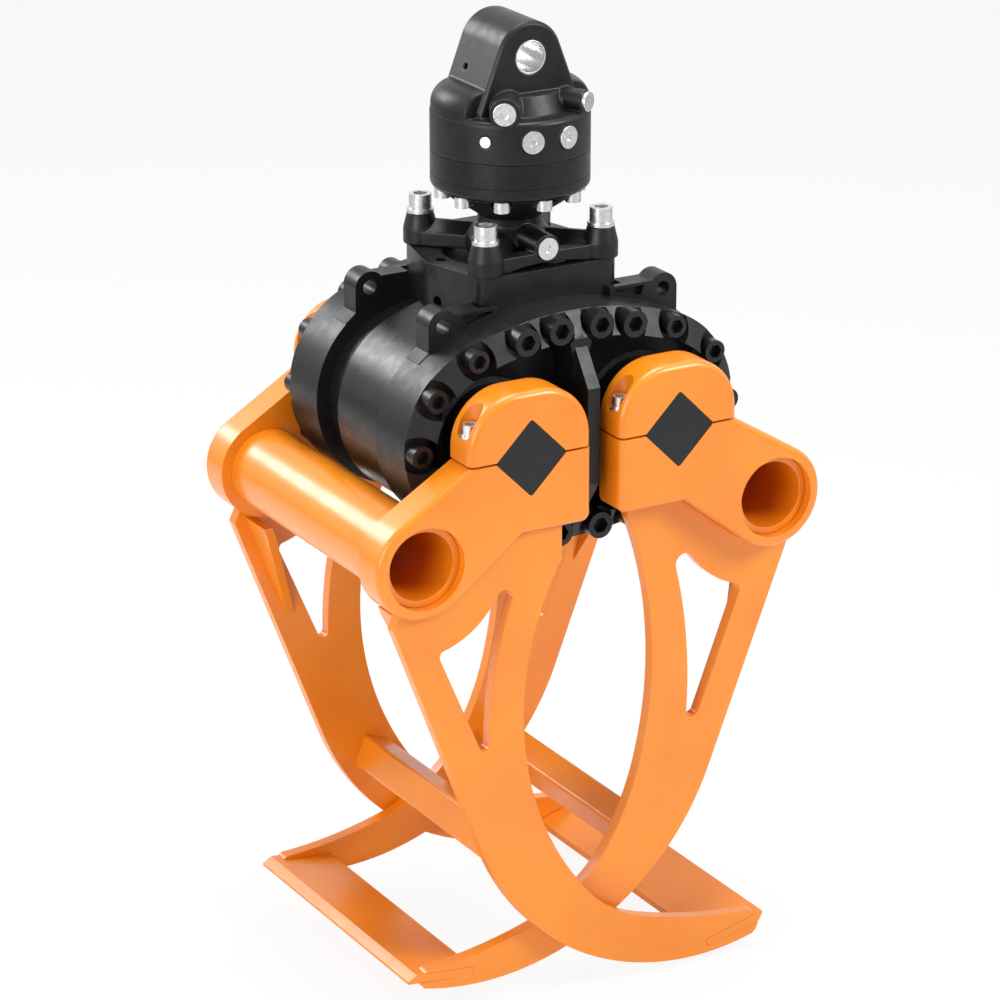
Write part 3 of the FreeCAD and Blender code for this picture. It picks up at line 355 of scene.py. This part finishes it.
def select_only(piece: bpy.types.Object) -> None:
    """Make one object the only selected and the active one."""
    bpy.ops.object.select_all(action="DESELECT")
    piece.select_set(True)
    bpy.context.view_layer.objects.active = piece


def apply_modifier(piece: bpy.types.Object, kind: str, **settings: object) -> None:
    """Add a modifier, set it up and apply it.

    Args:
        piece: Mesh object.
        kind: Type of the modifier.
        settings: Its properties by name.
    """
    modifier = piece.modifiers.new(kind.lower(), kind)
    for name, value in settings.items():
        setattr(modifier, name, value)
    select_only(piece)
    bpy.ops.object.modifier_apply(modifier=modifier.name)


def smooth(piece: bpy.types.Object, angle: float) -> None:
    """Shade smooth, keeping edges sharper than an angle in degrees."""
    select_only(piece)
    bpy.ops.object.shade_smooth_by_angle(angle=math.radians(angle))


class Workshop:
    """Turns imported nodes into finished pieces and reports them."""

    def __init__(self, frame: dict, paints: Paints) -> None:
        """Keep the frame and the paints.

        Args:
            paints: The material store.
        """
        self.nodes: dict[str, bpy.types.Object] = frame["nodes"]
        self.paints = paints
        self.body_of = {node: body for body, members in
                        frame["record"]["behaviour"]["bodies"].items() for node in members}

    def copy_of(self, node: str, name: str) -> bpy.types.Object:
        """Copy a node's mesh with its loose triangles merged into one skin.

        Args:
            node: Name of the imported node.
            name: Name of the new piece.

        Returns:
            The new object, at the origin.
        """
        mesh = self.nodes[node].data.copy()
        mesh.name = name
        piece = bpy.data.objects.new(name, mesh)
        bpy.context.scene.collection.objects.link(piece)
        select_only(piece)
        bpy.ops.object.mode_set(mode="EDIT")
        bpy.ops.mesh.select_all(action="SELECT")
        bpy.ops.mesh.remove_doubles(threshold=MERGE_GAP)
        bpy.ops.mesh.customdata_custom_splitnormals_clear()
        bpy.ops.mesh.dissolve_limited(angle_limit=math.radians(FLAT_ANGLE))
        bpy.ops.object.mode_set(mode="OBJECT")
        return piece

    def finish_piece(self, piece: bpy.types.Object, node: str, finish: Finish) -> None:
        """Coat a piece, let it stand for its node and ride on the node's body.

        Args:
            piece: The finished mesh.
            node: Node that it stands for.
            finish: Its finish.
        """
        self.paints.coat(piece, finish)
        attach(piece, self.body_of[node])
        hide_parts(node)
        log.info("%s: %d faces on %s", piece.name, len(piece.data.polygons), self.body_of[node])

    def machined(self, node: str, finish: Finish, edge: float, segments: int = 2) -> None:
        """A piece with its node's shape and rounded edges.

        Args:
            node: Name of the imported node.
            finish: Its finish.
            edge: Edge rounding in millimetres.
            segments: Faces across each rounding.
        """
        piece = self.copy_of(node, node + "_finished")
        apply_modifier(piece, "BEVEL", width=edge * MM, segments=segments,
                       limit_method="ANGLE", angle_limit=math.radians(BEVEL_ANGLE),
                       use_clamp_overlap=True, harden_normals=False)
        smooth(piece, BEVEL_ANGLE)
        apply_modifier(piece, "WEIGHTED_NORMAL", keep_sharp=True, weight=NORMAL_WEIGHT)
        self.finish_piece(piece, node, finish)

    def cast(self, node: str, finish: Finish, grain: float, softness: int) -> None:
        """A piece with its node's shape and the soft fillets of a casting.

        Args:
            node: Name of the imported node.
            finish: Its finish.
            grain: Size of the remeshing cells in millimetres.
            softness: Number of smoothing passes.
        """
        piece = self.copy_of(node, node + "_casting")
        apply_modifier(piece, "REMESH", mode="VOXEL", voxel_size=grain * MM)
        apply_modifier(piece, "SMOOTH", factor=0.5, iterations=softness)
        apply_modifier(piece, "DECIMATE", ratio=CAST_SHARE)
        smooth(piece, CAST_ANGLE)
        self.finish_piece(piece, node, finish)

    def plain(self, node: str, finish: Finish) -> None:
        """Give a hidden node its finish and leave its mesh as it is.

        Args:
            node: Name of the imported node.
            finish: Its finish.
        """
        holder = self.nodes[node]
        for slot in holder.material_slots:
            slot.material = self.paints.material(finish)
        if not holder.material_slots:
            holder.data.materials.append(self.paints.material(finish))
        log.info("%s: coated", node)


# ---------------------------------------------------------------- sub-assemblies

@dataclass
class Rotator:
    """The rotator with its link, plugs and rings."""

    shop: Workshop
    edge: float = 0.8

    def build(self) -> None:
        """Make every piece of the rotator."""
        self.shop.cast("rotator_head", Finish.CAST_BLACK, 1.1, 5)
        self.shop.machined("stator_ring", Finish.MACHINED_BLACK, self.edge)
        self.shop.machined("rotor_ring", Finish.MACHINED_BLACK, self.edge)
        self.shop.machined("link_bushing", Finish.ZINC, self.edge)
        self.shop.machined("port_plugs", Finish.ZINC, 0.9)
        self.shop.machined("bleed_plug", Finish.ZINC, self.edge)
        self.shop.plain("rotator_bearing", Finish.BRONZE)
        self.shop.plain("rotor_shaft", Finish.GEAR_STEEL)


@dataclass
class FlangeAdapter:
    """The cast spider between rotator and drive, with its screws."""

    shop: Workshop

    def build(self) -> None:
        """Make the adapter and its fasteners."""
        self.shop.cast("flange_adapter", Finish.CAST_BLACK, 1.2, 6)
        self.shop.machined("flange_screws", Finish.ZINC, 0.8)
        self.shop.machined("flange_washers", Finish.ZINC, 0.5)
        self.shop.machined("ring_screws", Finish.ZINC, 0.7)
        self.shop.machined("adapter_plug", Finish.ZINC, 0.8)


@dataclass
class RotaryDrive:
    """Housing, covers, their screws and what the housing holds."""

    shop: Workshop
    ends: tuple[str, ...] = ("front", "rear")
    sides: tuple[str, ...] = ("left", "right")

    def build(self) -> None:
        """Make every piece of the drive."""
        self.shop.machined("actuator_housing", Finish.MACHINED_BLACK, 1.5, 3)
        for end in self.ends:
            self.shop.machined(end + "_cover", Finish.CAST_BLACK, 1.5, 3)
            self.shop.machined(end + "_cover_screws", Finish.BLACK_OXIDE, 0.9)
            self.shop.machined(end + "_crown_screws", Finish.BLACK_OXIDE, 1.0)
            for side in self.sides:
                self.shop.plain("%s_%s_bush" % (side, end), Finish.BRONZE)
                self.shop.plain("%s_%s_seal" % (side, end), Finish.RUBBER)
        for side in self.sides:
            self.shop.plain(side + "_ring_gear", Finish.GEAR_STEEL)
            self.shop.plain(side + "_piston", Finish.GEAR_STEEL)


@dataclass
class Jaw:
    """One jaw: clamp heads, cross tube, plates, crossbeam and tip blade."""

    shop: Workshop
    side: str
    ends: tuple[str, ...] = ("front", "rear")

    def build(self) -> None:
        """Make every piece of the jaw."""
        self.shop.machined(self.side + "_shaft", Finish.BLACK_OXIDE, 1.2)
        for end in self.ends:
            stem = "%s_%s_" % (self.side, end)
            self.shop.machined(stem + "head", Finish.ORANGE, 1.5, 3)
            self.shop.machined(stem + "cap", Finish.ORANGE, 1.5, 3)
            self.shop.machined(stem + "plate", Finish.ORANGE, 1.2, 2)
        self.shop.machined(self.side + "_cross_tube", Finish.ORANGE, 1.5)
        self.shop.machined(self.side + "_crossbeam", Finish.ORANGE, 0.8)
        self.shop.machined(self.side + "_tip_blade", Finish.ORANGE, 0.8)
        self.shop.machined(self.side + "_gussets", Finish.ORANGE, 1.2)
        self.shop.machined(self.side + "_clamp_screws", Finish.ZINC, 0.8)
        self.shop.machined(self.side + "_clamp_washers", Finish.ZINC, 0.4)


# ---------------------------------------------------------------- studio

@dataclass(frozen=True)
class Studio:
    """Floor, lamps, world and camera."""

    azimuth: float = -30.04
    elevation: float = 20.245
    aim: Vector = field(default_factory=lambda: Vector((-0.0344, -0.03313, -0.6038)))
    distance: float = 5.36
    lens: float = 144.88
    drop: float = 0.012

    def floor(self, low: Vector) -> None:
        """Lay the floor just below the tips.

        Args:
            low: Lowest corner of the object.
        """
        bpy.ops.object.select_all(action="DESELECT")
        bpy.ops.mesh.primitive_plane_add(size=FLOOR_SIZE, location=(0.0, 0.0, low.z - self.drop))
        floor = bpy.context.object
        floor.name = "studio_floor"
        floor.data.materials.append(self.paper())
        floor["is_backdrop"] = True

    @staticmethod
    def paper() -> bpy.types.Material:
        """White paper that the camera sees as pure white except in the object's shadow."""
        tree = Tree("studio_paper")
        tree.shader.inputs["Base Color"].default_value = (*(PAPER_WHITE,) * 3, 1.0)
        tree.shader.inputs["Roughness"].default_value = 0.9
        glow = tree.tree.nodes.new("ShaderNodeEmission")
        glow.inputs["Color"].default_value = (1.0, 1.0, 1.0, 1.0)
        rays = tree.tree.nodes.new("ShaderNodeLightPath")
        mix = tree.tree.nodes.new("ShaderNodeMixShader")
        level = tree.tree.nodes.new("ShaderNodeMath")
        level.operation = "MULTIPLY"
        level.inputs[1].default_value = PAPER_GLOW
        tree.join(rays, "Is Camera Ray", level, 0)
        tree.join(level, 0, mix, 0)
        tree.join(tree.shader, "BSDF", mix, 1)
        tree.join(glow, "Emission", mix, 2)
        tree.join(mix, "Shader", tree.output, "Surface")
        return tree.material

    @staticmethod
    def world() -> None:
        """White surroundings: a plain level of light, pure white where seen or mirrored."""
        world = bpy.data.worlds.new("studio")
        bpy.context.scene.world = world
        world.use_nodes = True
        nodes, links = world.node_tree.nodes, world.node_tree.links
        back = nodes["Background"]
        back.inputs["Color"].default_value = (1.0, 1.0, 1.0, 1.0)
        rays = nodes.new("ShaderNodeLightPath")
        level = nodes.new("ShaderNodeMapRange")
        level.inputs["To Min"].default_value = WORLD_LEVEL
        level.inputs["To Max"].default_value = 1.0
        seen = rays.outputs["Is Camera Ray"]
        for kind in ("Is Glossy Ray", "Is Transmission Ray"):
            either = nodes.new("ShaderNodeMath")
            either.operation = "MAXIMUM"
            links.new(seen, either.inputs[0])
            links.new(rays.outputs[kind], either.inputs[1])
            seen = either.outputs[0]
        links.new(seen, level.inputs["Value"])
        links.new(level.outputs["Result"], back.inputs["Strength"])

    @staticmethod
    def lamp(name: str, place: Vector, target: Vector, size: float, power: float) -> None:
        """Hang one square soft lamp.

        Args:
            name: Name of the lamp.
            place: Where it hangs.
            target: Point that it faces.
            size: Side of its panel in metres.
            power: Power in watts.
        """
        data = bpy.data.lights.new(name, "AREA")
        data.shape = "SQUARE"
        data.size = size
        data.energy = power
        lamp = bpy.data.objects.new(name, data)
        lamp.location = place
        lamp.rotation_euler = (target - place).to_track_quat("-Z", "Y").to_euler()
        bpy.context.scene.collection.objects.link(lamp)

    def lamps(self, target: Vector) -> None:
        """Hang the key, fill, rim and top lamps around the object."""
        self.lamp("key_lamp", target + Vector((2.2, -2.6, 2.4)), target, 1.6, 120.0)
        self.lamp("fill_lamp", target + Vector((-3.0, -1.4, 1.0)), target, 2.0, 65.0)
        self.lamp("rim_lamp", target + Vector((-1.6, 2.8, 1.9)), target, 1.4, 70.0)
        self.lamp("top_lamp", target + Vector((0.2, 0.1, 3.0)), target, 1.8, 85.0)

    def camera(self) -> None:
        """Set the camera at the viewing angle."""
        turn, tilt = math.radians(self.azimuth), math.radians(self.elevation)
        back = Vector((math.sin(turn) * math.cos(tilt), -math.cos(turn) * math.cos(tilt),
                       math.sin(tilt)))
        right = Vector((math.cos(turn), math.sin(turn), 0.0))
        up = back.cross(right)
        data = bpy.data.cameras.new("camera")
        data.lens = self.lens
        data.clip_end = CAMERA_REACH
        camera = bpy.data.objects.new("camera", data)
        basis = Matrix((right, up, back)).transposed().to_4x4()
        camera.matrix_world = Matrix.Translation(self.aim + back * self.distance) @ basis
        bpy.context.scene.collection.objects.link(camera)
        bpy.context.scene.camera = camera

    def build(self, low: Vector, high: Vector) -> None:
        """Set everything up around the object's box.

        Args:
            low: Lowest corner of the object.
            high: Highest corner.
        """
        self.floor(low)
        self.world()
        self.lamps((low + high) / 2.0)
        self.camera()
        bpy.context.scene.view_settings.view_transform = "Standard"


def main() -> None:
    """Build the grapple's looks and the studio."""
    logging.basicConfig(level=logging.INFO, format="%(message)s")
    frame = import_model()
    solid_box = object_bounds()
    low, high = Vector(solid_box[0]), Vector(solid_box[1])
    shop = Workshop(frame, Paints())
    Studio().build(low, high)
    Rotator(shop).build()
    FlangeAdapter(shop).build()
    RotaryDrive(shop).build()
    for side in ("left", "right"):
        Jaw(shop, side).build()


if __name__ == "__main__":
    main()
